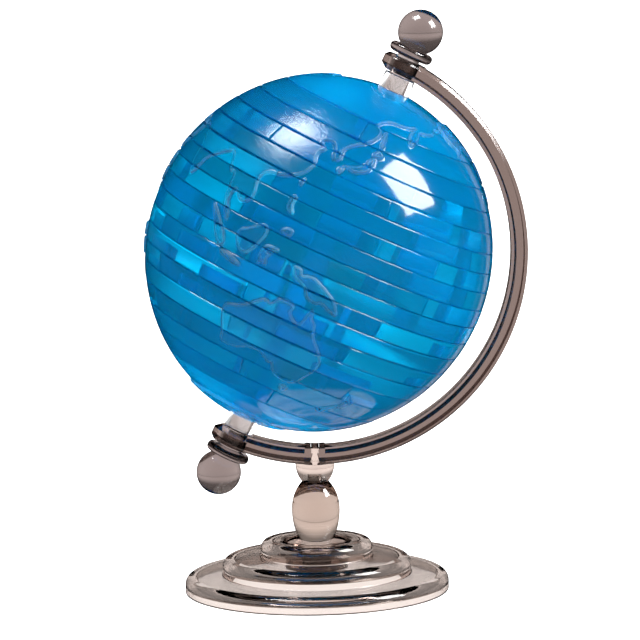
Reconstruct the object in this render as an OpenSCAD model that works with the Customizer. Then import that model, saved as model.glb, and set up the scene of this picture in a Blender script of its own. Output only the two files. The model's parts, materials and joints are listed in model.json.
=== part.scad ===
// Desktop globe puzzle on a stand: a clear blue globe stacked from flat interlocking layers,
// spinning between the two eyes of a C-shaped arc that is keyed onto a turned stem and a
// three-tier round base. Units are millimetres, +Z is up, and the globe's axis leans to +X.

/* [Globe] */
// Radius of the globe at its equator
globe_r = 40; // [36:0.5:42]
// Thickness of one flat layer
layer_t = 4.05; // [3.8:0.05:4.1]
// Gap left between neighbouring layers
layer_gap = 0.12; // [0.06:0.02:0.16]
// Width of the upright seams between the two pieces of a layer
seam_w = 0.1; // [0.06:0.02:0.2]

/* [Axis] */
// Tilt of the globe's axis on an upright arc, in degrees
axis_tilt = 23.4; // [18:0.1:28]
// Lean of the loaded arc on its key, in degrees
arc_lean = 2.2; // [0:0.1:3]
// Radius of the journals that turn in the arc's eyes
journal_r = 2.6; // [2.2:0.1:2.8]
// Radius of the finial balls
ball_r = 5.15; // [4.5:0.05:5.5]

/* [Arc] */
// Radius of the arc's inner face
arc_in_r = 44.9; // [44.8:0.1:46]
// Thickness of the arc's band
arc_t = 3.8; // [3.4:0.1:4.4]
// Width of the arc's band
arc_w = 9; // [8:0.5:10]
// Radius of the round eyes at the arc's ends
eye_r = 5.35; // [5:0.05:6]
// How far the arc's centre sits behind the globe's centre
arc_back = 1.2; // [0.8:0.1:1.4]

/* [Stand] */
// Outer radius of the lowest tier of the base
base_r = 30.4; // [29:0.1:33]
// Height of one tier of the base
tier_h = 4; // [3.6:0.1:4.6]
// Wall thickness of the hollow base
wall = 1.8; // [1.2:0.1:2]
// Largest radius of the stem bulb
bulb_r = 5.55; // [5.2:0.05:6]
// Height of the stem bulb
bulb_h = 13.4; // [12:0.2:15]
// Height of the cup between the bulb and the arc
cup_h = 4.4; // [4:0.1:5]

/* [Hidden] */
$fn = 96;
LAYERS = 16;                 // layers between the two caps
HALF = LAYERS / 2;
running = 0.08;              // radial clearance of a journal in its eye
fit = 0.05;                  // radial clearance of a fixed peg in its socket
touch = 0.02;                // clearance between faces that rest on each other

// Colours
BLUE = [0.02, 0.45, 0.80, 0.75];
SMOKE = [0.50, 0.44, 0.42, 0.60];
CLEAR = [0.85, 0.84, 0.82, 0.50];

// Seam longitudes of each layer from the bottom one up, in degrees east of the front.
// The first piece of a layer runs eastward from the first seam to the second.
SEAMS = [
    [5, 185], [-13, 167], [-66, 32], [-22, 158],
    [-62, 21], [-20, 160], [-65, 26], [-45, 135],
    [39, 219], [-33, 58], [14, 194], [-28, 56],
    [14, 194], [-40, 140], [75, 255], [-8, 172]
];

// Globe
bore_r = 3.1;                // hole through every layer for the axle
axle_r = 3;
cap_cut = HALF * layer_t;    // where the caps start, before the gaps spread the stack
cap_shift = (HALF + 0.5) * layer_gap;
pole_flat = sqrt(globe_r * globe_r - 4.5 * 4.5);
pole_z = pole_flat + cap_shift;
peg_r = 1.5;
peg_h = 1.4;
peg_at = 13;                 // distance of the pegs from the axis
peg_clear = 12;              // least angle between a peg and a seam

// Arc
arc_out_r = arc_in_r + arc_t;
in_bevel = [1.4, 1.15];      // bevel towards the globe: across the band, along its radius
out_bevel = [0.8, 0.8];      // bevel on the outer edges
eye_in = sqrt(arc_in_r * arc_in_r - arc_back * arc_back);
eye_out = eye_in + arc_t - 0.03;
key_land = 2.3;              // length left without the inner bevel beside the key

// Journals, collars and finials, as distances along the axis from the globe's centre
collar_end = eye_in - 0.35;      // the band bends towards the globe beside the eye
flange_r = 5.1;
flange_edge = 1.1;           // half the thickness of the flange
flange_at = 50.4;
ball_at = 55.55;
tip_r = 1.6;
tip_l = 5;

// Stand heights
tier_rs = [base_r, base_r - 8.7, base_r - 17.5];
shoulder = 2.4;
deck = 3 * tier_h;           // top of the base
cup_z = deck + bulb_h;
seat_z = cup_z + cup_h;      // where the arc rests on the cup
peg_len = 6.5;               // stem peg inside the base
stem_peg_r = 3.5;
boss_r = 7.2;
cup_peg_r = 1.5;
neck_r = 3.05;
cup_r = arc_w / 2;

// The arc stands on the key and leans about it, and the globe leans with it
tilt = axis_tilt + arc_lean;
seat_to_globe = sqrt(pow(arc_out_r, 2) - pow(arc_back * cos(axis_tilt), 2)) - arc_back * sin(axis_tilt);
globe_dx = seat_to_globe * sin(arc_lean);
globe_z = seat_z + seat_to_globe * cos(arc_lean);
arc_dx = globe_dx - arc_back * cos(tilt);
key_angle = -90 + tilt - asin(arc_dx / arc_out_r);
eye_angle = acos(arc_back / (arc_in_r + arc_t / 2));

// The origin lies under the middle of the whole object
side_shift = layer_gap * (floor(globe_r * sin(tilt) / layer_t) + 0.5);
left_x = globe_dx - globe_r - side_shift * sin(tilt);
right_x = arc_dx + arc_out_r;
stand_x = -(left_x + right_x) / 2;

function piece_name(i, side) = str("layer_", i < 9 ? "0" : "", i + 1, side == 0 ? "_a" : "_b");

// ---- placing ----

module on_stand() translate([stand_x, 0, 0]) children();

// +Z runs along the globe's axis, +X towards the belly of the arc
module on_globe() translate([stand_x + globe_dx, 0, globe_z]) rotate([0, tilt, 0]) children();

// A longitude of zero faces -Y
module at_longitude(lon) rotate([0, 0, lon - 90]) children();

// Both ends of the axis share their parts: end is 1 at the top and -1 at the bottom
module at_end(end) on_globe() rotate([end > 0 ? 0 : 180, 0, 0]) children();

// ---- globe ----

// The part of a disc between two longitudes
module wedge(from, to) {
    steps = ceil((to - from) / 45);
    reach = 1.5 * globe_r;
    at_longitude(0) linear_extrude(height = layer_t)
        polygon(concat([[0, 0]],
            [for (k = [0 : steps]) let (a = from + (to - from) * k / steps) reach * [cos(a), sin(a)]]));
}

// Upright dovetail tongue across a seam: dir is -1 before the seam and 1 after it
module tongue(lon, dir, grow) {
    at_longitude(lon) linear_extrude(height = layer_t)
        polygon([[16.9 - grow, -dir * 0.6], [20.1 + grow, -dir * 0.6],
                 [20.8 + grow, dir * (2.4 + grow)], [16.2 - grow, dir * (2.4 + grow)]]);
}

module seam_slot(lon) at_longitude(lon) translate([0, -seam_w / 2, -1]) cube([1.5 * globe_r, seam_w, layer_t + 2]);

function apart(a, b) = abs((a - b + 900) % 360 - 180);
// The first place for a peg near a longitude that stays clear of the seams above it
function peg_lon(lon, i) = i >= LAYERS ? lon
    : [for (turn = [0, 22, -22, 35]) if (apart(lon + turn, SEAMS[i][0]) > peg_clear
        && apart(lon + turn, SEAMS[i][1]) > peg_clear) lon + turn][0];
// The pegs on top of layer i, which stand in sockets of layer i + 1
function pegs(i) = i < 0 ? [peg_lon(-60, 0), peg_lon(120, 0)]
    : let (mid = (SEAMS[i][0] + SEAMS[i][1]) / 2) [peg_lon(mid, i + 1), peg_lon(mid + 180, i + 1)];

module peg(lon) at_longitude(lon) translate([peg_at, 0, layer_t - 0.5]) cylinder(r = peg_r, h = peg_h + 0.5);
module socket(lon) at_longitude(lon) translate([peg_at, 0, -1]) cylinder(r = peg_r + fit, h = peg_h + 1.2);

// One of the two pieces of layer i, counted from the bottom
module layer_piece(i, side) {
    from = SEAMS[i][side];
    to = side == 0 ? SEAMS[i][1] : SEAMS[i][0] + 360;
    z = (i - HALF) * layer_t;
    color(BLUE) on_globe() translate([0, 0, z + (i - HALF + 0.5) * layer_gap]) {
        difference() {
            intersection() {
                translate([0, 0, -z]) sphere(r = globe_r, $fn = 128);
                wedge(from, to);
            }
            translate([0, 0, -1]) cylinder(r = bore_r, h = layer_t + 2);
            for (s = SEAMS[i]) seam_slot(s);
            if (side == 1) {
                tongue(SEAMS[i][0], -1, fit);
                tongue(SEAMS[i][1], 1, fit);
            }
            for (lon = pegs(i - 1)) socket(lon);
        }
        if (side == 0) {
            tongue(SEAMS[i][0], -1, 0);
            tongue(SEAMS[i][1], 1, 0);
        }
        peg(pegs(i)[side]);
    }
}

// Round cap over the last layer, cut flat at the pole where the collar sits
module cap(end) {
    difference() {
        translate([0, 0, cap_shift]) intersection() {
            sphere(r = globe_r, $fn = 128);
            translate([0, 0, cap_cut]) cylinder(r = globe_r, h = pole_flat - cap_cut);
        }
        cylinder(r = bore_r, h = globe_r + 2);
        if (end > 0)
            for (lon = pegs(LAYERS - 1))
                translate([0, 0, cap_cut + cap_shift]) socket(lon);
    }
}

module cap_top() color(BLUE) on_globe() cap(1);
module cap_bottom() color(BLUE) {
    at_end(-1) cap(-1);
    on_globe() translate([0, 0, -cap_cut - cap_shift - layer_t]) for (lon = pegs(-1)) peg(lon);
}

// ---- axis ----

// Rod through every layer, with a blind hole in each end for the finials' tips
module axle() {
    color(CLEAR) on_globe() difference() {
        translate([0, 0, -pole_z]) cylinder(r = axle_r, h = 2 * pole_z);
        for (end = [-1, 1])
            translate([0, 0, end > 0 ? pole_z - tip_l - 0.3 : -pole_z - 1]) cylinder(r = tip_r + fit, h = tip_l + 1.3);
    }
}

// Clear sleeve between the globe and an eye
module collar(end) {
    color(CLEAR) at_end(end) difference() {
        translate([0, 0, pole_z + touch])
            cylinder(r1 = 3.85, r2 = 3.55, h = collar_end - pole_z - touch);
        cylinder(r = journal_r + fit, h = eye_in);
    }
}
module collar_top() collar(1);
module collar_bottom() collar(-1);

// Ball, rounded flange, journal and tip, turned as one piece
module finial(end) {
    color(SMOKE) at_end(end) {
        translate([0, 0, ball_at]) sphere(r = ball_r);
        translate([0, 0, flange_at]) {
            rotate_extrude() translate([flange_r - flange_edge, 0]) circle(r = flange_edge);
            translate([0, 0, -flange_edge]) cylinder(r = flange_r - flange_edge, h = 2 * flange_edge);
        }
        translate([0, 0, pole_z + 2 * touch]) cylinder(r = journal_r, h = flange_at - pole_z);
        translate([0, 0, pole_z - tip_l]) cylinder(r = tip_r, h = tip_l + 1);
    }
}
module finial_top() finial(1);
module finial_bottom() finial(-1);

// ---- arc ----

// Turns a section about the arc's centre, between angles counted from the belly to the top eye
module sweep(from, to) {
    translate([-arc_back, 0, 0]) rotate([90, 0, 0]) rotate([0, 0, from])
        rotate_extrude(angle = to - from, $fn = 180) children();
}

// Stretch of the band, bevelled on its outer edges only
module band(from, to) {
    half = arc_w / 2;
    sweep(from, to) polygon([[arc_in_r, -half], [arc_out_r - out_bevel.y, -half],
        [arc_out_r, out_bevel.x - half], [arc_out_r, half - out_bevel.x],
        [arc_out_r - out_bevel.y, half], [arc_in_r, half]]);
}

// What the bevels take off the inner edges, carried on past both faces
module inner_bevels(from, to) {
    half = arc_w / 2;
    for (side = [-1, 1])
        sweep(from, to) polygon([[arc_in_r - in_bevel.y, side * (half - 2 * in_bevel.x)],
            [arc_in_r + 2 * in_bevel.y, side * (half + in_bevel.x)],
            [arc_in_r - in_bevel.y, side * (half + in_bevel.x)]]);
}

module eye_disc() {
    rotate_extrude() polygon([[0, eye_in], [eye_r - in_bevel.x, eye_in], [eye_r, eye_in + in_bevel.y],
        [eye_r, eye_out - out_bevel.y], [eye_r - out_bevel.x, eye_out], [0, eye_out]]);
}

module eye_bore() cylinder(r = journal_r + running, h = 2 * globe_r);

// Key profile: a waisted dovetail under a square head, as high as the band is thick
module key_profile(grow) {
    polygon([[-0.55 - grow, -0.6], [-0.55 - grow, 0.25], [-1 - grow, 0.7], [-0.5 - grow, 2.6],
             [-0.9 - grow, 2.75], [-0.9 - grow, arc_t + 4 * grow], [0.9 + grow, arc_t + 4 * grow],
             [0.9 + grow, 2.75], [0.5 + grow, 2.6], [1 + grow, 0.7], [0.55 + grow, 0.25],
             [0.55 + grow, -0.6]]);
}

// Key standing on the arc's outer face, across the band
module key(grow, width) {
    translate([-arc_back, 0, 0]) rotate([0, -90 - key_angle, 0]) translate([0, 0, -arc_out_r])
        rotate([90, 0, 0]) linear_extrude(height = width, center = true) key_profile(grow);
}

land_angle = key_land / arc_in_r * 180 / PI;

// Short piece from the bottom eye to the key
module arc_lower() {
    color(SMOKE) on_globe() difference() {
        union() {
            difference() {
                band(-eye_angle, key_angle);
                inner_bevels(-eye_angle - 5, key_angle - land_angle);
            }
            rotate([180, 0, 0]) eye_disc();
        }
        rotate([180, 0, 0]) eye_bore();
        key(fit, arc_w + 2);
    }
}

// Long piece from the key to the top eye
module arc_upper() {
    color(SMOKE) on_globe() difference() {
        union() {
            difference() {
                band(key_angle, eye_angle);
                inner_bevels(key_angle + land_angle, eye_angle + 5);
            }
            eye_disc();
        }
        eye_bore();
        key(fit, arc_w + 2);
    }
}

// ---- stand ----

// Solid tier with a rounded shoulder
module tier(r, h, round_r) {
    rotate_extrude() intersection() {
        square([r, h]);
        union() {
            square([r - round_r, h]);
            square([r, h - round_r]);
            translate([r - round_r, h - round_r]) circle(r = round_r);
        }
    }
}

module base() {
    color(SMOKE) on_stand() difference() {
        union() for (k = [0 : 2]) tier(tier_rs[k], (k + 1) * tier_h, shoulder);
        // hollow that follows the tiers, around a boss that holds the stem's peg
        difference() {
            union() for (k = [0 : 2])
                translate([0, 0, -1]) tier(tier_rs[k] - wall, (k + 1) * tier_h - wall + 1, shoulder - 1);
            translate([0, 0, deck - peg_len - wall]) cylinder(r = boss_r, h = peg_len);
        }
        translate([0, 0, deck - peg_len - 0.3]) cylinder(r = stem_peg_r + fit, h = peg_len + 1);
    }
}

// Barrel whose upper and lower halves are arcs of different radius, widest at belly_z
module stem_bulb() {
    belly_z = bulb_h / 2 + 0.2;
    foot_r = 4.1;
    function arc_r(dr, dz) = (dr * dr + dz * dz) / (2 * dr);
    upper = arc_r(bulb_r - neck_r, bulb_h - belly_z);
    lower = arc_r(bulb_r - foot_r, belly_z);
    color(SMOKE) on_stand() translate([0, 0, deck + touch]) {
        rotate_extrude() {
            intersection() {
                translate([bulb_r - upper, belly_z]) circle(r = upper, $fn = 160);
                translate([0, belly_z - 0.01]) square([bulb_r, bulb_h - belly_z - touch]);
            }
            intersection() {
                translate([bulb_r - lower, belly_z]) circle(r = lower, $fn = 160);
                square([bulb_r, belly_z]);
            }
        }
        translate([0, 0, -peg_len]) cylinder(r = stem_peg_r, h = peg_len + 1);
        translate([0, 0, bulb_h - 1]) cylinder(r = cup_peg_r, h = 3);
    }
}

// Flared cup, hollowed on top to the arc's outer face, with the key that locks both arc pieces
module stem_cup() {
    side = (pow(cup_r - neck_r, 2) + pow(cup_h - 0.4, 2)) / (2 * (cup_r - neck_r));
    color(SMOKE) {
        difference() {
            on_stand() translate([0, 0, cup_z + touch]) rotate_extrude() {
                intersection() {
                    translate([cup_r - side, cup_h - 0.4]) circle(r = side, $fn = 160);
                    square([cup_r, cup_h - 0.4]);
                }
                translate([0, cup_h - 0.41]) square([cup_r, 1]);
            }
            on_globe() translate([-arc_back, 0, 0]) rotate([90, 0, 0])
                cylinder(r = arc_out_r + touch, h = 4 * cup_r, center = true, $fn = 180);
            on_stand() translate([0, 0, cup_z - 1]) cylinder(r = cup_peg_r + fit, h = 3.3);
        }
        on_globe() key(0, arc_w - 0.6);
    }
}

// ---- output ----

base();
stem_bulb();
stem_cup();
arc_lower();
arc_upper();
axle();
collar_bottom();
collar_top();
finial_bottom();
finial_top();
cap_bottom();
cap_top();
for (i = [0 : LAYERS - 1], side = [0, 1])
    layer_piece(i, side);
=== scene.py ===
# Looks of a small clear globe puzzle on a smoke-tinted stand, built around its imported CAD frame.
# Lengths are millimetres in the globe's or the stand's own frame until finish_mesh() turns them to metres.
import json
import math

import bmesh
import bpy
import numpy as np
from mathutils import Matrix, Vector
from mathutils.kdtree import KDTree


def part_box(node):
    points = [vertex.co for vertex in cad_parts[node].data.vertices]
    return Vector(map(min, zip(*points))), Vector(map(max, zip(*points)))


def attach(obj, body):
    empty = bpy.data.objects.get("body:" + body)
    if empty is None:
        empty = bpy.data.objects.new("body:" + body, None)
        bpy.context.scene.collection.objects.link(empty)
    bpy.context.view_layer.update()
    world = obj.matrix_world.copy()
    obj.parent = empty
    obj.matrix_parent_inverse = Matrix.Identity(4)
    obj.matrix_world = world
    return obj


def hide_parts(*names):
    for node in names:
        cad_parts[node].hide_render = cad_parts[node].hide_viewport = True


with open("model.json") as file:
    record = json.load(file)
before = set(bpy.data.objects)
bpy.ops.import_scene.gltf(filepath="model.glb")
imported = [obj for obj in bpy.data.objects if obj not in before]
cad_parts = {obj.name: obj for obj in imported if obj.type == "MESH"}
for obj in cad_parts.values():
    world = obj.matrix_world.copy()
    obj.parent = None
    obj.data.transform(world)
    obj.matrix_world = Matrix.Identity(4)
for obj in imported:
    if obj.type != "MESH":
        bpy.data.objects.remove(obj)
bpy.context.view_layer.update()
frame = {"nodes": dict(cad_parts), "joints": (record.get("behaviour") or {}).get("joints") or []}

# ---------------------------------------------------------------- driving values

MM = 0.001
SEED = 11

# Globe surface
SKIN = 0.55             # how far the polished sea lies inside the CAD globe
LAND_H = 0.49           # height of the land over the sea
COAST_HALF = 0.32       # half width of the step between them
UNEVEN = 0.05           # how far neighbouring pieces stand proud of each other, each way
GRID = 0.2              # spacing of the outer mesh
STEP_FROST = 5          # frosting of the coast's step, as a multiple of the land's
INSIDE_FROST = 2        # frosting of the flat faces and pockets, as a multiple of the land's
EDGE = 0.24             # rounding of each piece's outer edges
TO_REAL = 139.5         # real longitude that faces the front
OUTSIDE = 22            # a layer's vertices beyond this radius all lie on its outer surface

# Insides of the layers
BORE_R = 3.1            # hole that the axle goes through
SEAM_HALF = 0.14        # half the gap between two pieces of a layer
TONGUE = (16.9, 20.1, 16.2, 20.8, 0.6, 2.4)     # root radii, tip radii, root depth, tip reach
FIT = 0.05              # clearance round a peg or a tongue
PEG_H = 1.4
PEG_R = 1.5
PEG_AT = 13.0           # distance of the pegs from the axis
SOCKET_SPARE = 0.2      # how much deeper a socket is than its peg
POCKET_H = 3.1          # depth of the pockets

# Meshing
BORE_STEP = 10.0        # degrees between the bore's vertices
SHARP = math.radians(28)        # edges that turn more than this are drawn sharp
ARC_STEP = math.radians(12)     # turn between two points of a rounded corner

# Light and plastic
PLASTIC_IOR = 1.57
BACKDROP = 2.7          # brightness of the white backdrop
TABLE_GLOW = 0.8        # brightness of the table top, as a share of the backdrop's
LIGHT_AT = 0.9          # distance of the lights from the globe's centre, in metres

# Camera, as distance and angles about the globe's centre
EYE_DISTANCE = 0.9
EYE_ELEVATION = math.radians(6.5)
EYE_ROLL = math.radians(1.1)
GLOBE_SHARE = 0.54781           # radius of the globe's outline as a share of half the picture
AIM = (-0.0034, 0.2075)         # where the globe's centre shows, as shares of the half width, from the middle

# ---------------------------------------------------------------- the globe's frame

joint = frame["joints"][0]
CENTRE = Vector(joint["pos_m"])
AXIS = Vector(joint["axis"]).normalized()
EAST = Vector((0, 1, 0)).cross(AXIS)
GLOBE = Matrix((EAST, (0, 1, 0), AXIS)).transposed().to_4x4()
GLOBE.translation = CENTRE

base_low, base_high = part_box("base")
STAND = Matrix.Translation(((base_low.x + base_high.x) / 2, 0, 0))


def local_mm(node, place):
    """A CAD node's vertices in millimetres in the given frame."""
    mesh = frame["nodes"][node].data
    co = np.empty(len(mesh.vertices) * 3)
    mesh.vertices.foreach_get("co", co)
    m = np.array(place.inverted())
    return (co.reshape(-1, 3) @ m[:3, :3].T + m[:3, 3]) / MM


def smooth_step(x, low, high):
    """Rises from 0 at low to 1 at high, level at both."""
    t = np.clip((x - low) / (high - low), 0, 1)
    return t * t * (3 - 2 * t)


cap = local_mm("cap_top", GLOBE)
POLE_Z = float(cap[:, 2].max())
POLE_FLAT = float(np.hypot(*cap[cap[:, 2] > POLE_Z - 0.01][:, :2].T).max())
CAD_R = float(np.hypot(*local_mm("layer_08_a", GLOBE)[:, :2].T).max())
SEA_R = CAD_R - SKIN
SEA_POLE = POLE_Z / math.sqrt(1 - (POLE_FLAT / SEA_R) ** 2)

# ---------------------------------------------------------------- coastlines

# Corners of the coasts as longitude and latitude in degrees, rounded off by rounded_line()
COASTS = {
    "australia": "113.5,-22 114,-26 115.5,-31 115,-34.5 118,-35 123.5,-34 126,-32.3 131,-31.5 134,-32.8 "
                 "136,-34.8 137.5,-33 138.3,-35.6 140.5,-38 143.5,-38.8 146.3,-39 150,-37.5 151.3,-33.8 "
                 "153.2,-31 153.5,-28 152.8,-25 149.5,-22 146.3,-19 145.3,-15 143.5,-14.3 142.5,-10.8 "
                 "141.6,-13 140.8,-17.5 139,-17.3 135.8,-15 136.9,-12.3 133,-11.7 130.8,-12.4 129.5,-15 "
                 "126.8,-14 124,-16.3 122.2,-18 119,-20 116,-20.8",
    "tasmania": "144.7,-40.8 148.2,-40.9 148,-43 146,-43.5",
    "new_guinea": "131,-0.8 134,-0.9 134.5,-3 137.8,-1.6 141,-2.6 145,-4.5 147.8,-6 150.8,-10.3 "
                  "147,-9.3 144,-7.8 142.5,-9.2 138.5,-8.2 137.8,-5.5 133,-4 132,-2.8",
    "borneo": "109.2,1.8 111.5,2.8 114,4.6 116.8,6.8 119,5.2 117.8,1 116.5,-1.5 115,-4 111.5,-3.4 "
              "110,-1.5",
    "sumatra": "95.3,5.6 98.5,3.8 103,0.2 106,-3 105.8,-5.8 102.5,-4 98.8,1.5",
    "java": "105.3,-6.5 108.5,-6.4 114.4,-7.6 114.3,-8.8 108,-8",
    "sulawesi": "119.4,-5.4 120.4,-3 119,-3 119.7,0.6 121,1.4 125,1.6 123.5,0.3 120.6,-0.4 123,-0.9 "
                "121.6,-2 122.7,-4.8 121.2,-3.6",
    "luzon": "120.3,16.2 120.7,18.5 122.2,18.4 121.7,15.5 123.9,13 121,13.7",
    "mindanao": "122,7 124,8.5 126.3,8.8 126,6.3 124.2,6.8",
    "taiwan": "120.2,23 121.6,25.2 121,22",
    "kyushu": "130,33.3 131.7,33.6 131.3,31.4 130.2,31.3",
    "honshu": "131,34.3 135.7,35.6 138.5,37.4 140,40.8 141.5,41.4 142,39.3 140.8,35.7 138.5,34.7 "
              "135.8,33.5 133,34.2",
    "hokkaido": "140,42 141.7,45.3 145.3,43.3 143,42",
    "sakhalin": "142,46 142.2,53.5 143.2,54 143.4,49.5 143.6,46.5",
    "new_zealand_n": "172.8,-34.5 175.5,-36.8 178.4,-37.7 176,-41.3 174.9,-41.2 173.8,-39.2 174.8,-37",
    "new_zealand_s": "172.8,-40.7 174.2,-41.5 171,-45.5 168.5,-46.6 166.6,-45.8 170.8,-42.8",
    "eurasia": "190,66 180,69 170,70 160,69.7 150,72 140,72.8 130,71.5 114,73.8 104,77.6 90,75.5 "
               "80,72.5 73,71.5 68,68.5 60,69.5 54,68.5 45,68 40,65 34,66.5 40,68 30,70.5 25,71 15,68.5 "
               "10,64 5,61 6,58 11,59 12.5,56 16.5,57 18,60 21.5,64 25,65.5 21.5,61 29,60 24,58 21,55 "
               "14,54 10.5,57.5 8,56.5 8.5,53.8 3,51.2 -1.5,49.6 -4.6,48.4 -1.5,46 -1.8,43.4 -9,43.2 "
               "-9,37 -5.5,36 -1.5,37.2 3,42 5,43.4 10,44 15.8,38 18.3,40.3 13,44 13.5,45.7 19.5,41.8 "
               "22.5,36.6 24,40.3 27,36.8 36,36.5 34.5,31.5 33.5,29.5 35,28 39,21.5 43,13 45,12.8 "
               "52,15.7 59.8,22.5 56.3,26.2 51.3,25 48,30 51.5,27.8 57,26.8 62,25.2 67,24.8 70,20.8 "
               "72.8,19 74.5,13.5 77.5,8.1 80.2,13 80.3,15.8 86.5,20.3 90,22.3 92.3,20.8 94.3,16 "
               "97.5,16.8 98.6,8.5 103.5,1.4 103.4,4.5 100.3,8 100.5,13.5 104.8,8.8 109.2,12 106,18.8 "
               "108.5,21.8 114,22.4 119.5,25.5 121.9,30 119.5,34.8 122.5,37 118,38.8 121.2,40.8 "
               "124.8,39.8 126.3,34.5 129.3,35.5 127.8,39.8 132,43.2 138,47 141,53 135.5,54.8 143,59.3 "
               "155,59.3 163,61.8 156.5,57.5 156.8,51 162.5,56 163.5,60 170.5,60 179,62.4 180,64.8 "
               "187,64.3",
    "britain": "-5.5,50.2 1.3,51.3 0,53.5 -2,57.6 -5,58.5 -5,54.5 -4,51.7",
    "iceland": "-24,65.5 -14,65 -20,63.4",
    "africa": "-5.9,35.5 3,36.9 10,37.3 11,33.5 20,31 25,31.7 31.8,31 37,21 42.5,11.7 51.2,11.5 48,4 "
              "40.5,-2.8 40,-15.5 35,-20 35.5,-24 32,-28.5 27,-33.8 20,-34.8 18.2,-32 14.5,-22.5 12,-17 "
              "13.5,-8 9,-1 9.5,4 4.5,6.3 -4,5.2 -8,4.5 -13,8.5 -17,14.7 -16.5,20 -13,27.7 -9.7,31.5",
    "madagascar": "49.3,-12 50.3,-15.8 47,-25 44,-23 44.3,-17",
    "north_america": "-168,65.7 -165,60.5 -158,58.5 -164,54.8 -152,59.5 -146,60.8 -137,58.8 -130,54.5 "
                     "-124,48.3 -124.3,40.5 -120.5,34.5 -115,29 -110,23 -113.5,30 -106,23 -100,17 "
                     "-95,16 -87.5,13 -83,8.5 -79.5,8 -80,9.3 -83.5,15 -88.5,15.8 -87,21.3 -91,18.7 "
                     "-97,20.5 -97.2,27.5 -90,29.3 -84,30 -81,25.3 -81,31.5 -76,35 -74,40.3 -70,42 "
                     "-66,44.5 -64.5,49 -56,52.5 -64,60 -77.5,62.3 -77,56 -80,51.5 -87,56.5 -94.5,58.8 "
                     "-94,61.5 -87,66 -95,68 -110,68 -128,70 -141,69.7 -156.5,71.2 -166,68.3",
    "greenland": "-45,60 -52,65 -54,70 -68,76 -60,81.5 -30,83.3 -18,79 -22,70.5 -38,65.8",
    "cuba": "-84.8,21.9 -80,23.2 -74.3,20.2 -78,20.6",
    "south_america": "-78.5,8.4 -72,12 -62,10.7 -51,4.5 -44,-2.5 -35,-6 -39,-14 -41,-22 -48.5,-26 "
                     "-54,-34 -57,-38 -65,-41 -67.5,-46.5 -68.5,-52.5 -74,-51 -73.5,-42 -71.5,-30 "
                     "-70.3,-18.3 -76.3,-14 -81.2,-5 -80,1 -77.5,4",
}
ICE_EDGE = ("-180,-78 -150,-77 -120,-74 -100,-72.5 -75,-72 -60,-64 -60,-75 -35,-78 -10,-71 30,-69 "
            "60,-67.5 90,-66.5 120,-66.8 150,-68.5 170,-72 165,-78 180,-78")


def corners(text):
    """Pairs of longitude and latitude as an array."""
    return np.array([[float(v) for v in pair.split(",")] for pair in text.split()])


def rounded_line(points, closed, times=3):
    """Cuts the corners of a line, each time at a quarter of its sides."""
    for _ in range(times):
        nxt = np.roll(points, -1, 0) if closed else points[1:]
        cur = points if closed else points[:-1]
        cut = np.empty((2 * len(cur), 2))
        cut[0::2] = 0.75 * cur + 0.25 * nxt
        cut[1::2] = 0.25 * cur + 0.75 * nxt
        points = cut if closed else np.vstack((points[:1], cut, points[-1:]))
    return points


def on_sea(lon, lat):
    """Points of the sea's surface in the globe's frame. A longitude of zero faces the front."""
    lon, lat = np.radians(lon), np.radians(lat)
    r = SEA_R * np.cos(lat)
    return np.stack((r * np.sin(lon), -r * np.cos(lon), SEA_POLE * np.sin(lat)), -1)


def spaced(line, step):
    """The line of longitudes and latitudes as surface points no further apart than step."""
    out = []
    for (lon_a, lat_a), (lon_b, lat_b) in zip(line[:-1], line[1:]):
        length = np.linalg.norm(on_sea(lon_b, lat_b) - on_sea(lon_a, lat_a))
        t = np.arange(0, 1, step / max(length, step))
        out.append(on_sea(lon_a + (lon_b - lon_a) * t - TO_REAL, lat_a + (lat_b - lat_a) * t))
    return np.vstack(out)


class Coast:
    """Tells how far a point of the surface is from the nearest coast, and whether it's on land."""

    point_gap = 0.12                # distance between two points along a coast
    frost_edge = (-0.2, 0.3)        # distances inland over which the land's frosting sets in
    ice_fade = (-64, -60)           # latitudes over which the southern ice's frosting fades in

    def __init__(self):
        self.lands = [rounded_line(corners(text), True) for text in COASTS.values()]
        self.ice = rounded_line(corners(ICE_EDGE), False)
        lines = [np.vstack((land, land[:1])) for land in self.lands] + [self.ice]
        points = np.vstack([spaced(line, self.point_gap) for line in lines])
        self.tree = KDTree(len(points))
        for i, p in enumerate(points):
            self.tree.insert(p, i)
        self.tree.balance()

    def on_land(self, lon, lat):
        """Whether each place is on land, by how often a line east from it crosses the coasts."""
        real = (lon + TO_REAL + 180) % 360 - 180
        inside = lat < np.interp(real, self.ice[:, 0], self.ice[:, 1])
        for land in self.lands:
            x0, y0 = land.T
            x1, y1 = np.roll(land, -1, 0).T
            for turn in (0, 360):
                x = real + turn
                near = (x > x0.min()) & (x < x0.max()) & (lat > y0.min()) & (lat < y0.max())
                if not near.any():
                    continue
                px, py = x[near][:, None], lat[near][:, None]
                spans = (y0 > py) != (y1 > py)
                with np.errstate(divide="ignore", invalid="ignore"):
                    crosses = spans & (px < (x1 - x0) * (py - y0) / (y1 - y0) + x0)
                hit = crosses.sum(1) % 2 == 1
                inside[np.flatnonzero(near)[hit]] = True
        return inside

    def measure(self, points):
        """Height over the sea and share of frosting at points near the surface, in the globe's frame."""
        lon = np.degrees(np.arctan2(points[:, 0], -points[:, 1]))
        lat = np.degrees(np.arcsin(np.clip(points[:, 2] / SEA_POLE, -1, 1)))
        away = np.array([self.tree.find(p)[2] for p in points])
        side = np.where(self.on_land(lon, lat), away, -away)
        land = smooth_step(side, *self.frost_edge) * smooth_step(lat, *self.ice_fade)
        frost = land + STEP_FROST * np.exp(-((side / COAST_HALF) ** 2))
        return LAND_H * smooth_step(side, -COAST_HALF, COAST_HALF), frost


coast = Coast()

# ---------------------------------------------------------------- mesh helpers


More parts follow.
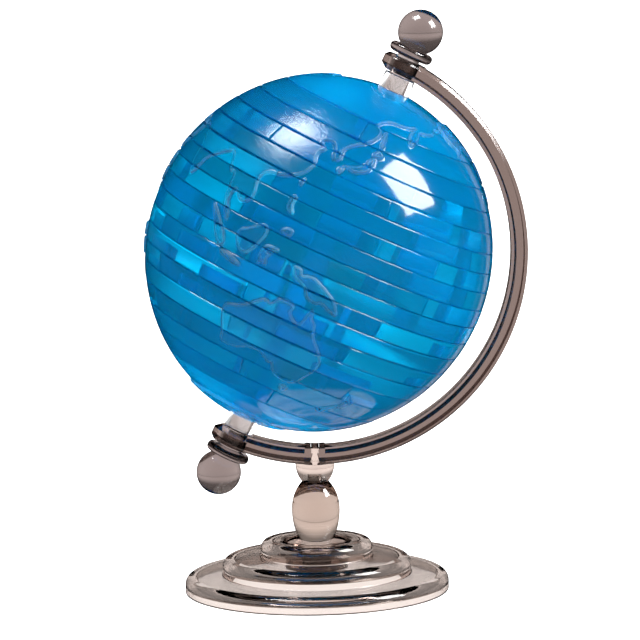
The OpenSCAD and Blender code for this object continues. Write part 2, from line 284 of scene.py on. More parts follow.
def finish_mesh(name, verts, faces, place, material, body, node, frost=None):
    """Makes the object: faces turned outward, smooth but for sharp edges, in metres, riding on its body.

    frost is the frosting at each vertex of the outer surface and how many four-sided faces that has. Its
    vertices and faces come first.
    """
    mesh = bpy.data.meshes.new(name)
    mesh.from_pydata([tuple(v) for v in verts], [], faces)
    bm = bmesh.new()
    bm.from_mesh(mesh)
    bmesh.ops.recalc_face_normals(bm, faces=bm.faces)
    if bm.calc_volume(signed=True) < 0:
        bmesh.ops.reverse_faces(bm, faces=bm.faces)
    bm.to_mesh(mesh)
    bm.free()
    if frost is not None:
        corners_of = np.empty(len(mesh.loops), np.int32)
        mesh.loops.foreach_get("vertex_index", corners_of)
        values = np.full(len(corners_of), INSIDE_FROST, np.float32)
        outer = 4 * frost[1]
        values[:outer] = frost[0][corners_of[:outer]]
        layer = mesh.attributes.new("frost", "FLOAT", "CORNER")
        layer.data.foreach_set("value", values)
    mesh.shade_smooth()
    mesh.set_sharp_from_angle(angle=SHARP)
    mesh.transform(place @ Matrix.Scale(MM, 4))
    mesh.materials.append(material)
    obj = bpy.data.objects.new(name, mesh)
    bpy.context.scene.collection.objects.link(obj)
    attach(obj, body)
    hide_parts(node)
    return obj


def fillet(path, closed=False):
    """Rounds the corners of a path of (r, z, radius) with arcs and returns (r, z) points."""
    straight = 1.57         # half angle of a corner that hardly turns
    most = 0.499            # share of a side that one corner may take
    out = []
    n = len(path)
    for i, (r, z, radius) in enumerate(path):
        here = np.array((r, z), float)
        if radius <= 0 or (not closed and i in (0, n - 1)):
            out.append(here)
            continue
        a = np.array(path[i - 1][:2], float) - here
        b = np.array(path[(i + 1) % n][:2], float) - here
        la, lb = np.linalg.norm(a), np.linalg.norm(b)
        a, b = a / la, b / lb
        half = math.acos(max(-1, min(1, float(a @ b)))) / 2
        reach = min(radius / math.tan(half), most * la, most * lb) if half < straight else 0
        if reach < 1e-4:
            out.append(here)
            continue
        radius = reach * math.tan(half)
        centre = here + (a + b) / np.linalg.norm(a + b) * radius / math.sin(half)
        start, end = here + a * reach - centre, here + b * reach - centre
        turn = math.atan2(start[0] * end[1] - start[1] * end[0], float(start @ end))
        steps = max(3, round(abs(turn) / ARC_STEP))
        for k in range(steps + 1):
            t = turn * k / steps
            out.append(centre + np.array((start[0] * math.cos(t) - start[1] * math.sin(t),
                                          start[0] * math.sin(t) + start[1] * math.cos(t))))
    return out


def lathe(name, profile, place, material, body, node, turns=144, flip=False, closed=False):
    """Turns a profile of (r, z) about Z. It is closed, or both its ends lie on the axis."""
    verts, rings = [], []
    for r, z in profile:
        if r < 1e-6:
            rings.append([len(verts)] * turns)
            verts.append((0, 0, z))
            continue
        rings.append(list(range(len(verts), len(verts) + turns)))
        verts += [(r * math.cos(2 * math.pi * k / turns), r * math.sin(2 * math.pi * k / turns), z)
                  for k in range(turns)]
    pairs = list(zip(rings[:-1], rings[1:])) + ([(rings[-1], rings[0])] if closed else [])
    faces = []
    for low, high in pairs:
        for k in range(turns):
            corner = [low[k], low[(k + 1) % turns], high[(k + 1) % turns], high[k]]
            face = list(dict.fromkeys(corner))
            if len(face) > 2:
                faces.append(face)
    if flip:
        place = place @ Matrix.Rotation(math.pi, 4, "X")
    return finish_mesh(name, verts, faces, place, material, body, node)


# ---------------------------------------------------------------- materials


def node_at(tree, kind, **sockets):
    """A new node with some of its inputs set."""
    node = tree.nodes.new(kind)
    for key, value in sockets.items():
        node.inputs[key.replace("_", " ")].default_value = value
    return node


def clear_plastic(name, tint, absorb, rough, waves, grain=0.0, clear=1, gloss=0.5):
    """Clear moulded plastic. absorb is what it takes off red, green and blue light per metre.

    rough is (polished, frosted, spread), waves the height of a moulded surface's faint unevenness and grain
    that of the frosting, in metres. The share of frosting is the attribute "frost". A body that is less than
    clear is slightly cloudy.
    """
    material = bpy.data.materials.new(name)
    material.use_nodes = True
    tree = material.node_tree
    shader = tree.nodes["Principled BSDF"]
    shader.inputs["Base Color"].default_value = (*tint, 1)
    shader.inputs["Transmission Weight"].default_value = clear
    shader.inputs["IOR"].default_value = PLASTIC_IOR
    shader.inputs["Specular IOR Level"].default_value = gloss
    density = max(absorb) * 1.02        # a little more, so that no colour is taken off altogether
    volume = tree.nodes.new("ShaderNodeVolumeAbsorption")
    volume.inputs["Density"].default_value = density
    volume.inputs["Color"].default_value = (*[1 - a / density for a in absorb], 1)
    tree.links.new(volume.outputs[0], tree.nodes["Material Output"].inputs["Volume"])

    place = tree.nodes.new("ShaderNodeTexCoord")
    frost = tree.nodes.new("ShaderNodeAttribute")
    frost.attribute_name = "frost"

    def noise(scale, detail):
        node = node_at(tree, "ShaderNodeTexNoise", Scale=scale, Detail=detail)
        tree.links.new(place.outputs["Object"], node.inputs["Vector"])
        return node.outputs["Fac"]

    def maths(kind, a, b):
        node = tree.nodes.new("ShaderNodeMath")
        node.operation = kind
        for socket, value in zip(node.inputs, (a, b)):
            if isinstance(value, (int, float)):
                socket.default_value = value
            else:
                tree.links.new(value, socket)
        return node.outputs[0]

    polished, frosted, spread = rough
    haze = maths("MULTIPLY", noise(scale=180, detail=3), spread)
    step = maths("MULTIPLY", frost.outputs["Fac"], frosted - polished)
    tree.links.new(maths("ADD", maths("ADD", haze, step), polished - spread / 2), shader.inputs["Roughness"])

    grains = maths("MULTIPLY", maths("MULTIPLY", noise(scale=2600, detail=2), frost.outputs["Fac"]), grain)
    swell = maths("MULTIPLY", noise(scale=110, detail=1), waves)
    bump = node_at(tree, "ShaderNodeBump", Strength=1.0, Distance=1.0)
    tree.links.new(maths("ADD", grains, swell), bump.inputs["Height"])
    tree.links.new(bump.outputs["Normal"], shader.inputs["Normal"])
    return material


BLUE = clear_plastic("blue_plastic", tint=(0.0, 0.5, 1), absorb=(400, 3, 5), rough=(0.09, 0.16, 0.03),
                     waves=0.00003, grain=0.00005, clear=0.84, gloss=0.3)
SMOKE = clear_plastic("smoke_plastic", tint=(0.49, 0.445, 0.42), absorb=(44, 58, 64),
                      rough=(0.03, 0.03, 0.03), waves=0.00002)
# A darker copy of the smoke plastic: painted shade for the bulb, which is the same plastic as the base
SHADED_STEM_SMOKE = clear_plastic("stem_plastic_painted_shade", tint=(0.415, 0.375, 0.345), absorb=(50, 66, 74),
                           rough=(0.03, 0.03, 0.03), waves=0.00002)
DARK_SMOKE = clear_plastic("dark_smoke_plastic", tint=(0.42, 0.38, 0.36), absorb=(140, 165, 172),
                           rough=(0.1, 0.1, 0.03), waves=0.00002)
KNOB_SMOKE = clear_plastic("knob_plastic", tint=(0.47, 0.43, 0.415), absorb=(125, 141, 143),
                           rough=(0.13, 0.13, 0.02), waves=0.000001)
CLEAR = clear_plastic("clear_plastic", tint=(0.92, 0.92, 0.92), absorb=(8, 10, 11),
                      rough=(0.03, 0.03, 0.03), waves=0.00002)

# ---------------------------------------------------------------- layers and caps

# Distances from an edge over its rounding
EDGE_STEPS = EDGE * (1 - np.sin(np.radians((90, 60, 30, 0))))


def inset(distance):
    """How far a rounded edge lies inside the surface at this distance from the edge."""
    left = np.clip(EDGE - distance, 0, EDGE)
    return EDGE - np.sqrt(EDGE ** 2 - left ** 2)


def between(low, high):
    """Stations from low to high: close together over the two rounded edges, evenly spaced between them."""
    count = max(2, round((high - low - 2 * EDGE) / GRID))
    inner = np.linspace(low + EDGE, high - EDGE, count + 1)[1:-1]
    return np.concatenate((low + EDGE_STEPS, inner, high - EDGE_STEPS[::-1]))


def polar(r, lon, z):
    """A point r out along a longitude."""
    a = math.radians(lon)
    return (r * math.sin(a), -r * math.cos(a), z)


def beside(r, t, lon, z):
    """A point r out along a longitude and t to the east of it."""
    a = math.radians(lon)
    return (r * math.sin(a) + t * math.cos(a), -r * math.cos(a) + t * math.sin(a), z)


class Solid:
    """Collects the vertices and faces of one piece."""

    def __init__(self):
        self.verts, self.faces = [], []

    def add(self, point):
        self.verts.append(point)
        return len(self.verts) - 1


class Hole:
    """A peg, socket or pocket on a flat face, on a longitude: sizes are along the radius and across it."""

    def __init__(self, at, lon, long, wide, depth, square):
        self.at, self.lon, self.long, self.wide, self.depth, self.square = at, lon, long, wide, depth, square

    def loop(self, z):
        """Points around it from its inner side by the east to its outer side and back by the west."""
        count = 24
        power = 0.3 if self.square else 1
        out = []
        for k in range(count):
            t = 2 * math.pi * k / count
            c, s = math.cos(t), math.sin(t)
            u = -math.copysign(abs(c) ** power, c) if abs(c) > 1e-9 else 0.0
            v = math.copysign(abs(s) ** power, s) if abs(s) > 1e-9 else 0.0
            out.append(beside(self.at + self.long * u, self.wide * v, self.lon, z))
        return out


def plate(solid, z, columns, outer, bore_lons, bore, ends, holes):
    """One flat face between the outer edge and the bore, in sections that meet at the holes' longitudes.

    Each hole's wall and floor are added too: depth is positive upwards.
    """
    sides = {}
    for hole in sorted(holes, key=lambda h: (h.lon, h.at)):
        rim = [solid.add(p) for p in hole.loop(z)]
        floor = [solid.add(p) for p in hole.loop(z + hole.depth)]
        n = len(rim)
        solid.faces += [[rim[k], rim[(k + 1) % n], floor[(k + 1) % n], floor[k]] for k in range(n)]
        solid.faces.append(floor)
        east, west = sides.setdefault(hole.lon, ([], []))
        east += rim[: n // 2 + 1]
        west += [rim[0]] + rim[:n // 2 - 1:-1]
    closed = ends is None
    bounds = [(lon, *sides[lon]) for lon in sorted(sides)]
    if not closed:
        bounds = [(columns[0], ends[0], ends[0])] + bounds + [(columns[-1], ends[1], ends[1])]
    elif not bounds:
        bounds = [(columns[0], [], [])]
    spans = list(zip(bounds, bounds[1:]))
    if closed:
        spans.append((bounds[-1], bounds[0]))
    for (lon_a, east, _), (lon_b, _, west) in spans:
        solid.faces.append(
            east + arc_between(columns, outer, lon_a, lon_b, closed)
            + west[::-1] + arc_between(bore_lons, bore, lon_a, lon_b, closed)[::-1])


def arc_between(lons, ids, lon_a, lon_b, closed):
    """The vertices from one longitude east to another."""
    a = int(np.abs(lons - lon_a).argmin())
    b = int(np.abs(lons - lon_b).argmin())
    if closed and b <= a:
        b += len(ids)
    return [ids[k % len(ids)] for k in range(a, b + 1)]


def with_cuts(stations, cuts, keep):
    """Stations with each cut as one of them, in place of neighbours nearer than keep."""
    cuts = np.array(sorted(cuts))
    if len(cuts):
        near = np.abs(stations[:, None] - cuts).min(1) < keep
        near[0] = near[-1] = False
        stations = stations[~near]
    return np.sort(np.concatenate((stations, cuts)))


def piece_stations(span, widest, cuts):
    """Longitudes of the outer surface's columns, how far each is eased inward, and longitudes of the bore."""
    degree = math.radians(widest)       # millimetres to a degree along the widest row
    column_keep, bore_keep, fewest = 0.4 * GRID / degree, 3, 48
    if span is None:
        columns = np.linspace(0, 360, max(fewest, round(360 * degree / GRID)), endpoint=False)
        columns = with_cuts(columns, cuts, column_keep)
        return columns, np.zeros(len(columns)), with_cuts(np.arange(0, 360, BORE_STEP), cuts, bore_keep)
    low, high = span
    lean, bore_lean = SEAM_HALF / degree, math.degrees(SEAM_HALF / BORE_R)
    columns = with_cuts(between((low + lean) * degree, (high - lean) * degree) / degree, cuts, column_keep)
    edge = inset(np.minimum(columns - columns[0], columns[-1] - columns) * degree)
    first, last = low + 8, high - 4     # clear of the two ends
    bore_lons = np.concatenate(([low + bore_lean], np.arange(first, last, BORE_STEP), [high - bore_lean]))
    return columns, edge, with_cuts(bore_lons, cuts, bore_keep)


def outer_surface(solid, columns, edge, rows, fade, proud, closed):
    """Adds the piece's outer faces. Returns its vertices as columns of rows, and the frosting at each."""
    relief_share, rounding = fade
    r, z = np.array(rows).T
    a = np.radians(columns)[:, None]
    inward = np.maximum(edge[:, None], rounding[None, :])
    sea = np.stack((r * np.sin(a), -r * np.cos(a), np.broadcast_to(z, (len(columns), len(rows)))), -1)
    relief, frost = coast.measure(sea.reshape(-1, 3))
    rise = (relief.reshape(len(columns), -1) + proud) * relief_share - inward
    up = z / SEA_POLE ** 2
    out = r / SEA_R ** 2
    length = np.hypot(up, out)
    radius = r + rise * out / length
    height = z + rise * relief_share * up / length
    points = np.stack((radius * np.sin(a), -radius * np.cos(a), height), -1)
    solid.verts = [tuple(p) for p in points.reshape(-1, 3)]
    n, m = len(columns), len(rows)
    grid = np.arange(n * m).reshape(n, m).tolist()
    for j in range(n if closed else n - 1):
        here, there = grid[j], grid[(j + 1) % n]
        solid.faces += [[here[k], there[k], there[k + 1], here[k + 1]] for k in range(m - 1)]
    return grid, frost


def bore_wall(solid, lons, z_low, z_high, closed):
    """Adds the wall of the hole for the axle. Returns its lower and its upper vertices."""
    low = [solid.add(polar(BORE_R, lon, z_low)) for lon in lons]
    high = [solid.add(polar(BORE_R, lon, z_high)) for lon in lons]
    count = len(lons)
    for k in range(count if closed else count - 1):
        nxt = (k + 1) % count
        solid.faces.append([low[k], low[nxt], high[nxt], high[k]])
    return low, high


def dovetail_end(solid, lon, side, kind, z_low, z_high, bore_low, bore_high, column):
    """Adds one end of a piece with its tongue or groove, from the bore to the outer surface's column.

    side is 1 where the piece lies to the east of the end, or -1. Returns its lower and its upper vertices.
    """
    root_in, root_out, tip_in, tip_out, root, reach = TONGUE
    grow = FIT if kind == "groove" else 0
    out_of = -side if kind == "tongue" else side
    share = (root - SEAM_HALF) / (root + reach)
    path = [(root_in - (root_in - tip_in) * share - grow, side * SEAM_HALF),
            (tip_in - grow, out_of * (reach + grow)), (tip_out + grow, out_of * (reach + grow)),
            (root_out + (tip_out - root_out) * share + grow, side * SEAM_HALF)]
    foot = [solid.add(beside(r, t, lon, z_low)) for r, t in path]
    head = [solid.add(beside(r, t, lon, z_high)) for r, t in path]
    chain_low, chain_high = [bore_low] + foot, [bore_high] + head
    for k in range(len(path)):
        solid.faces.append([chain_low[k], chain_low[k + 1], chain_high[k + 1], chain_high[k]])
    solid.faces.append([foot[-1]] + column + [head[-1]])
    return foot, head


def shell_piece(name, node, span, rows, fade, floor_holes, roof_holes, kind=None, proud=0.0):
    """A piece of the globe. Its outer surface follows rows of (r, z), and its flat faces hold the holes.

    span is its two longitudes, or None for a whole ring. kind is "tongue" or "groove" at its two ends.
    """
    solid = Solid()
    closed = span is None
    cuts = {h.lon for h in floor_holes + roof_holes}
    columns, edge, bore_lons = piece_stations(span, max(r for r, _ in rows), cuts)
    grid, frost = outer_surface(solid, columns, edge, rows, fade, proud, closed)
    quads = len(solid.faces)
    z_low, z_high = rows[0][1], rows[-1][1]
    bore_low, bore_high = bore_wall(solid, bore_lons, z_low, z_high, closed)
    ends_low = ends_high = None
    if not closed:
        ends = [dovetail_end(solid, lon, side, kind, z_low, z_high, bore_low[at], bore_high[at], grid[at])
                for lon, side, at in ((span[0], 1, 0), (span[1], -1, -1))]
        ends_low, ends_high = zip(*ends)
    plate(solid, z_low, columns, [g[0] for g in grid], bore_lons, bore_low, ends_low, floor_holes)
    plate(solid, z_high, columns, [g[-1] for g in grid], bore_lons, bore_high, ends_high, roof_holes)
    return finish_mesh(name, solid.verts, solid.faces, GLOBE, BLUE, "globe", node,
                       frost=(frost, quads))


def layer_rows(z_low, z_high):
    """Rows of the outer surface between two flat faces, with each one's share of relief and rounding."""
    z = between(z_low, z_high)
    r = SEA_R * np.sqrt(1 - (z / SEA_POLE) ** 2)
    away = np.minimum(z - z_low, z_high - z)
    return list(zip(r, z)), (smooth_step(away, 0, EDGE), inset(away))


def cap_rows(z_edge, end):
    """The same for a cap, along its meridian from the edge to the flat at the pole."""
    lat_edge = math.asin(z_edge / SEA_POLE)
    lat_pole = math.asin(POLE_Z / SEA_POLE)
    lat = between(lat_edge * SEA_R, lat_pole * SEA_R) / SEA_R
    away = np.minimum(lat - lat_edge, lat_pole - lat) * SEA_R
    rows = [(SEA_R * math.cos(a), SEA_POLE * math.sin(a)) for a in lat]
    rows[0] = (rows[0][0], z_edge)
    rows[-1] = (rows[-1][0], POLE_Z)
    rounding = inset(away)
    if end < 0:
        rows = [(r, -z) for r, z in rows[::-1]]
        away, rounding = away[::-1], rounding[::-1]
    return rows, (smooth_step(away, 0, EDGE), rounding)


def span_of(points):
    """The longitudes between which a piece lies, from its outer vertices."""
    outer = points[np.hypot(points[:, 0], points[:, 1]) > OUTSIDE]
    lon = np.unique(np.round(np.degrees(np.arctan2(outer[:, 0], -outer[:, 1])), 3))
    gaps = np.diff(np.concatenate((lon, [lon[0] + 360])))
    k = int(gaps.argmax())
    start = lon[(k + 1) % len(lon)]
    lean = math.degrees(SEAM_HALF / CAD_R)
    start, end = start - lean, lon[k] + lean
    return (start, end if end > start else end + 360), (outer[:, 2].min(), outer[:, 2].max())


def peg_of(points, z_high):
    """The longitude of the peg on top of a piece."""
    top = points[points[:, 2] > z_high + 0.9 * PEG_H]
    x, y = top[:, 0].mean(), top[:, 1].mean()
    return math.degrees(math.atan2(x, -y))


def inside(lon, span, margin):
    """The same longitude a whole number of turns on, where that lies within the span, or else None."""
    for turn in (-360, 0, 360, 720):
        if span[0] + margin <= lon + turn <= span[1] - margin:
            return lon + turn
    return None


def pockets(span, z_mid, taken, rng):
    """Pockets moulded into the underside, in a ring outside the tongues and in line with any near socket."""
    end_gap, end_room = 14, 24                  # degrees of longitude, as are the next two
    spacing, line_up = 34, 17
    least_long, most_long = 1.6, 2.6            # half length along the radius
    least_wide, most_wide = 2.6, 7.5            # half width across it
    wall, furthest, tongue_end = 5.5, 31, 21.6
    left_out = 0.45
    reach = SEA_R * math.sqrt(1 - (z_mid / SEA_POLE) ** 2)
    out = []
    width = span[1] - span[0]
    count = max(1, int((width - end_room) // spacing))
    for k in range(count + 1):
        lon = span[0] + end_gap + (width - 2 * end_gap) * k / count
        near = [t for t in taken if abs(t - lon) < line_up]
        lon = near[0] if near else lon
        if any(abs(lon - h.lon) < 1 for h in out):
            continue
        long = rng.uniform(least_long, most_long)
        wide = rng.uniform(least_wide, most_wide)
        if rng.random() < left_out:
            continue
        at = min(reach - wall - long, furthest)
        if at - long > tongue_end:
            out.append(Hole(at, lon, long, wide, POCKET_H, True))
    return out


def peg(lon):
    return Hole(PEG_AT, lon, PEG_R, PEG_R, PEG_H, False)


def socket(lon):
    return Hole(PEG_AT, lon, PEG_R + FIT, PEG_R + FIT, PEG_H + SOCKET_SPARE, False)


def build_globe():
    rng = np.random.default_rng(SEED)
    socket_margin = 8       # degrees from a piece's end to the nearest socket
    front = 30              # one of the bottom cap's two pegs lies before this longitude, and one beyond
    cap_points = local_mm("cap_bottom", GLOBE)
    outer = np.hypot(cap_points[:, 0], cap_points[:, 1]) > OUTSIDE
    cap_top_z = cap_points[outer][:, 2].max()
    pegs = cap_points[cap_points[:, 2] > cap_top_z + 0.9 * PEG_H]
    lons = np.degrees(np.arctan2(pegs[:, 0], -pegs[:, 1]))
    below = [float(lons[lons < front].mean()), float(lons[lons > front].mean())]
    rows, fade = cap_rows(-cap_top_z, -1)
    roof = [peg(lon % 360) for lon in below]
    shell_piece("globe_cap_bottom", "cap_bottom", None, rows, fade, [], roof)

    nodes = sorted(n for n in frame["nodes"] if n.startswith("layer_"))
    for pair in zip(nodes[0::2], nodes[1::2]):
        here = []
        for node, kind in zip(pair, ("tongue", "groove")):
            points = local_mm(node, GLOBE)
            span, (z_low, z_high) = span_of(points)
            here.append(inside(peg_of(points, z_high), span, 0))
            sockets = [inside(lon, span, socket_margin) for lon in below]
            sockets = [lon for lon in sockets if lon is not None]
            floor = [socket(lon) for lon in sockets]
            floor += pockets(span, (z_low + z_high) / 2, sockets, rng)
            rows, fade = layer_rows(z_low, z_high)
            proud = rng.uniform(-UNEVEN, UNEVEN)
            shell_piece("globe_" + node, node, span, rows, fade, floor, [peg(here[-1])], kind, proud)
        below = here

    cap_points = local_mm("cap_top", GLOBE)
    rows, fade = cap_rows(cap_points[:, 2].min(), 1)
    floor = [socket(lon % 360) for lon in below]
    shell_piece("globe_cap_top", "cap_top", None, rows, fade, floor, [])


build_globe()

# ---------------------------------------------------------------- axle, collars and finials


def build_axis():
    tip_r, tip_l, tip_gap = 1.6, 5.0, 0.3
    rod_r = 3.0
    half = [(0, POLE_Z - tip_l - tip_gap, 0), (tip_r + FIT, POLE_Z - tip_l - tip_gap, 0.15),
            (tip_r + FIT, POLE_Z, 0.15), (rod_r, POLE_Z, 0.15)]
    rod = half + [(r, -z, radius) for r, z, radius in half[::-1]]
    lathe("axle_rod", fillet(rod), GLOBE, CLEAR, "globe", "axle", turns=72)
    for end, flip in (("top", False), ("bottom", True)):
        build_collar(end, flip)
        build_finial(end, flip, tip_r, tip_l)


def build_collar(end, flip):
    bore_r, wide_r, narrow_r, edge = 2.65, 3.85, 3.55, 0.25
    collar = np.abs(local_mm("collar_" + end, GLOBE)[:, 2])
    z_in, z_out = collar.min(), collar.max()
    sleeve = [(bore_r, z_in, 0.15), (wide_r, z_in, edge), (narrow_r, z_out, edge), (bore_r, z_out, 0.15)]
    lathe("collar_sleeve_" + end, fillet(sleeve, closed=True), GLOBE, CLEAR, "globe", "collar_" + end,
          turns=96, flip=flip, closed=True)


def build_finial(end, flip, tip_r, tip_l):
    """Tip, journal, flange and ball, as one turned piece."""
    ball_r, flange_r, flange_half, flange_z, journal_r = 5.15, 5.1, 1.1, 50.4, 2.6
    seat_gap, top_gap, steps = 0.04, 0.01, 40
    tallest = np.abs(local_mm("finial_" + end, GLOBE)[:, 2]).max()
    ball_z = tallest - ball_r - top_gap
    round_r = 0.98 * flange_half
    journal_z = POLE_Z + seat_gap
    waist_z = flange_z + flange_half
    waist = math.sqrt(ball_r ** 2 - (ball_z - waist_z) ** 2)
    start = math.asin((waist_z - ball_z) / ball_r)
    ball = [(ball_r * math.cos(start + (math.pi / 2 - start) * k / steps),
             ball_z + ball_r * math.sin(start + (math.pi / 2 - start) * k / steps))
            for k in range(1, steps + 1)]
    ball[-1] = (0, ball_z + ball_r)
    stem = [(0, POLE_Z - tip_l, 0), (tip_r, POLE_Z - tip_l, 0.3), (tip_r, journal_z, 0.1),
            (journal_r, journal_z, 0.15), (journal_r, flange_z - flange_half, 0.25),
            (flange_r, flange_z - flange_half, round_r), (flange_r, waist_z, round_r), (waist, waist_z, 0.12)]
    line = fillet(stem + [(*ball[0], 0)])[:-1] + ball
    lathe("finial_knob_" + end, line, GLOBE, KNOB_SMOKE, "globe", "finial_" + end,
          turns=96, flip=flip)


# ---------------------------------------------------------------- stem and base


def build_base():
    """Three round tiers as one hollow shell, with a boss inside that takes the stem's peg."""
    rim = (base_high.x - base_low.x) / 2 / MM
    tier, wall, shoulder, foot_edge, step = 4.0, 1.8, 2.4, 0.3, (8.7, 17.5)
    inner_shoulder = shoulder - 1
    radii = [rim, rim - step[0], rim - step[1]]
    deck = 3 * tier
    socket_r, boss_r, boss_floor = 3.55, 7.2, 1.5
    socket_z = deck - 6.8
    line = [(0, socket_z, 0), (socket_r, socket_z, 0.2), (socket_r, deck, 0.2)]
    for k in (2, 1, 0):
        line += [(radii[k], (k + 1) * tier, shoulder), (radii[k], k * tier, 0.25)]
    line[-1] = (radii[0], 0, foot_edge)
    for k in (0, 1, 2):
        inner = radii[k] - wall
        line += [(inner, max(k * tier - wall, 0), 0.25), (inner, (k + 1) * tier - wall, inner_shoulder)]
    line += [(boss_r, deck - wall, 0.4), (boss_r, socket_z - boss_floor, 0.4), (0, socket_z - boss_floor, 0)]
    lathe("base_shell", fillet(line), STAND, SMOKE, "stand", "base", turns=288)


def build_bulb():
    """A barrel of two halves that meet in a fine seam, with a peg below and a thinner one above."""
    points = local_mm("stem_bulb", STAND)
    bulb_r = np.hypot(points[:, 0], points[:, 1]).max()
    bulb_h, neck_r, foot_r = 13.4, 3.05, 4.1
    peg_r, peg_l, top_peg_r, top_peg_l = 3.5, 6.5, 1.5, 2
    seam, seam_half, neck_gap, top_gap, rings = 0.025, 0.12, 0.14, 0.04, 30
    foot_z = points[:, 2].min() + peg_l
    belly = bulb_h / 2 + 0.2

    def side(r_end, height):
        radius = ((bulb_r - r_end) ** 2 + height ** 2) / (2 * (bulb_r - r_end))
        return lambda z: bulb_r - radius + math.sqrt(radius ** 2 - z ** 2)

    lower, upper = side(foot_r, belly), side(neck_r, bulb_h - belly)
    skin = [(lower(z - belly), foot_z + z) for z in np.linspace(seam_half, belly - seam_half, rings)]
    skin += [(bulb_r - seam, foot_z + belly)]
    skin += [(upper(z - belly), foot_z + z) for z in np.linspace(belly + seam_half, bulb_h - neck_gap, rings)]
    peg_z, top_z = foot_z - peg_l, foot_z + bulb_h
    neck_z = top_z - top_gap
    start = [(0, peg_z, 0), (peg_r, peg_z, 0.3), (peg_r, foot_z, 0.15), (foot_r, foot_z, 0.15), (*skin[0], 0)]
    end = [(*skin[-1], 0), (neck_r, neck_z, 0.12), (top_peg_r, neck_z, 0.1),
           (top_peg_r, top_z + top_peg_l, 0.2), (0, top_z + top_peg_l, 0)]
    line = fillet(start)[:-1] + skin + fillet(end)[1:]
    # The bulb takes the darker copy of the smoke plastic, its tint being painted shade
    lathe("stem_bulb_turned", line, STAND, SHADED_STEM_SMOKE, "stand", "stem_bulb", turns=144)


# ---------------------------------------------------------------- arc and cup


def eased_copy(name, node, width, material):
    """A CAD node's shape with its sharp edges rounded."""
    flat, sharp_edge = math.radians(0.6), math.radians(24)
    mesh = frame["nodes"][node].data.copy()
    mesh.name = name
    mesh.materials.clear()
    bm = bmesh.new()
    bm.from_mesh(mesh)
    bmesh.ops.remove_doubles(bm, verts=bm.verts, dist=1e-7)
    bmesh.ops.dissolve_limit(bm, angle_limit=flat, verts=bm.verts, edges=bm.edges)
    sharp = [e for e in bm.edges if len(e.link_faces) == 2 and e.calc_face_angle(0) > sharp_edge]
    bmesh.ops.bevel(bm, geom=sharp, offset=width * MM, offset_type="OFFSET", segments=2, profile=0.5,
                    affect="EDGES", clamp_overlap=True)
    bm.to_mesh(mesh)
    bm.free()
    mesh.materials.append(material)
    mesh.shade_smooth()
    mesh.set_sharp_from_angle(angle=SHARP)
    obj = bpy.data.objects.new(name, mesh)
    obj.modifiers.new("even_normals", "WEIGHTED_NORMAL").keep_sharp = True
    bpy.context.scene.collection.objects.link(obj)
    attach(obj, "stand")
    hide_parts(node)
    return obj


build_axis()
build_base()
build_bulb()
eased_copy("arc_long", "arc_upper", width=0.12, material=DARK_SMOKE)
eased_copy("arc_short", "arc_lower", width=0.12, material=DARK_SMOKE)
eased_copy("cup_with_key", "stem_cup", width=0.06, material=SMOKE)

# ---------------------------------------------------------------- camera


def make_camera():
    """Looks from the eye so that the globe has its share of the picture and its centre shows at AIM."""
    tan = GLOBE_SHARE * math.sqrt(EYE_DISTANCE ** 2 - (CAD_R * MM) ** 2) / (CAD_R * MM)
    data = bpy.data.cameras.new("camera")
    data.sensor_width = 36
    data.lens = tan * data.sensor_width / 2
    data.clip_start = 0.01
    data.clip_end = 20
    eye = CENTRE + EYE_DISTANCE * Vector((0, -math.cos(EYE_ELEVATION), math.sin(EYE_ELEVATION)))
    c, s = math.cos(EYE_ROLL), math.sin(EYE_ROLL)
    right, up = AIM[0] / tan, AIM[1] / tan
    towards = (CENTRE - eye).normalized()
    forward = towards.copy()
    for _ in range(20):
        x = forward.cross(Vector((0, 0, 1))).normalized()
        y = x.cross(forward)
        seen = towards / towards.dot(forward)
        forward = (forward + (seen.dot(x) - (c * right + s * up)) * x
                   + (seen.dot(y) - (c * up - s * right)) * y).normalized()
    x = forward.cross(Vector((0, 0, 1))).normalized()
    y = x.cross(forward)
    camera = bpy.data.objects.new("camera", data)
    camera.matrix_world = Matrix.Translation(eye) @ Matrix(
        (c * x - s * y, s * x + c * y, -forward)).transposed().to_4x4()
    bpy.context.scene.collection.objects.link(camera)
    bpy.context.scene.camera = camera


make_camera()

# ---------------------------------------------------------------- light and floor


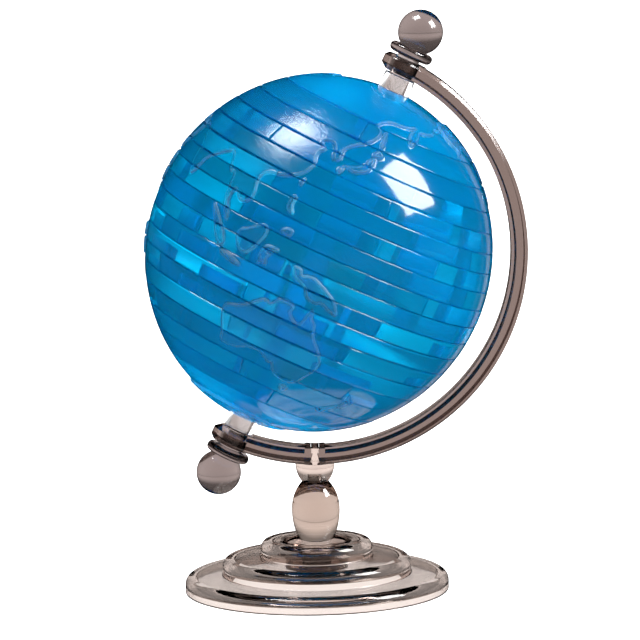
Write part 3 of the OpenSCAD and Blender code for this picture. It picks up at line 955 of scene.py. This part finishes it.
def studio_world():
    """A white backdrop all round under a darker ceiling.

    It is kept out of the reflections, which show only the lights.
    """
    below, ceiling = (0.6, 0.6, 0.6, 1), (0.12, 0.12, 0.13, 1)
    greys = ((0.01, 1), (0.1, 1), (0.28, 0.27), (0.9, 0.12))      # height and brightness
    world = bpy.data.worlds.new("studio")
    bpy.context.scene.world = world
    world.use_nodes = True
    tree = world.node_tree
    place = tree.nodes.new("ShaderNodeTexCoord")
    split = tree.nodes.new("ShaderNodeSeparateXYZ")
    ramp = tree.nodes.new("ShaderNodeValToRGB")
    tree.links.new(place.outputs["Generated"], split.inputs[0])
    tree.links.new(split.outputs["Z"], ramp.inputs["Fac"])
    stops = ramp.color_ramp.elements
    stops[0].color = below
    stops[1].color = ceiling
    for height, grey in greys:
        stops.new(height).color = (grey, grey, grey, 1)
    tree.links.new(ramp.outputs["Color"], tree.nodes["Background"].inputs["Color"])
    tree.nodes["Background"].inputs["Strength"].default_value = BACKDROP
    world.cycles_visibility.glossy = False
    world.cycles.sampling_method = "NONE"


def softbox(name, azimuth, elevation, size, power):
    """An oblong light that faces the globe's centre. Angles are in degrees, sizes in metres."""
    data = bpy.data.lights.new(name, "AREA")
    data.shape = "RECTANGLE"
    data.size, data.size_y = size
    data.energy = power
    a, e = math.radians(azimuth), math.radians(elevation)
    towards = Vector((math.sin(a) * math.cos(e), -math.cos(a) * math.cos(e), math.sin(e)))
    obj = bpy.data.objects.new(name, data)
    obj.location = CENTRE + LIGHT_AT * towards
    obj.rotation_euler = towards.to_track_quat("Z", "Y").to_euler()
    bpy.context.scene.collection.objects.link(obj)


def make_floor():
    """A lit white table top, kept out of the reflections as the backdrop is."""
    bm = bmesh.new()
    bmesh.ops.create_circle(bm, cap_ends=True, segments=96, radius=4)
    mesh = bpy.data.meshes.new("studio_floor")
    bm.to_mesh(mesh)
    bm.free()
    material = bpy.data.materials.new("floor_paper")
    material.use_nodes = True
    shader = material.node_tree.nodes["Principled BSDF"]
    shader.inputs["Base Color"].default_value = (0.3, 0.3, 0.3, 1)
    shader.inputs["Roughness"].default_value = 0.8
    shader.inputs["Specular IOR Level"].default_value = 0.0
    shader.inputs["Emission Color"].default_value = (1, 1, 1, 1)
    shader.inputs["Emission Strength"].default_value = TABLE_GLOW * BACKDROP
    mesh.materials.append(material)
    obj = bpy.data.objects.new("studio_floor", mesh)
    obj.location.z = -0.2 * MM      # clear of the base's rim
    obj.visible_glossy = False
    obj.visible_diffuse = False
    bpy.context.scene.collection.objects.link(obj)


studio_world()
softbox("top_light", azimuth=-76, elevation=77, size=(0.36, 0.36), power=7)
softbox("side_light", azimuth=75, elevation=35, size=(0.41, 0.46), power=10.6)
make_floor()

settings = bpy.context.scene
settings.cycles.max_bounces = 32
settings.cycles.transmission_bounces = 32
settings.view_settings.view_transform = "Standard"
